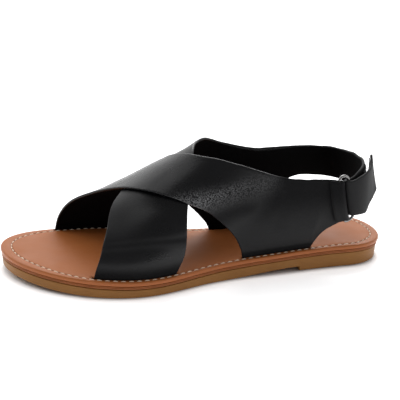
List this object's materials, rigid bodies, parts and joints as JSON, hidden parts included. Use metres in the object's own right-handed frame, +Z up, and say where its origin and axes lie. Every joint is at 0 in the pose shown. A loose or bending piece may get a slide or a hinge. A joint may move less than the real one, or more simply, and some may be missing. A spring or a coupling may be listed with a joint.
{
  "type": "flat sandal",
  "caption": "Flat open-toe sandal with broad crossed leather straps, a sling-back heel strap turned through a metal ring, a tan stitched footbed and a low gum sole.",
  "frame": {"origin": "on the floor, under the middle of the sandal's length and width", "axes": "+X from the heel to the toe, +Y to the outer side of the foot, +Z up"},
  "size_m": [0.2516, 0.098, 0.0815],
  "materials": {
    "outsole": "satin honey gum rubber",
    "midsole": "satin brown, with fine lines round its edge",
    "footbed": "smooth tan, stitched near its edge",
    "upper": "smooth black with a soft sheen",
    "ring": "polished nickel",
    "pile_patch": "black looped pile",
    "hook_patch": "black hook tape"
  },
  "bodies": {
    "root": {"outsole": "outsole", "midsole": "midsole", "footbed": "footbed", "upper": "upper", "ring": "ring", "pile_patch": "pile_patch", "hook_patch": "hook_patch"}
  },
  "joints": []
}
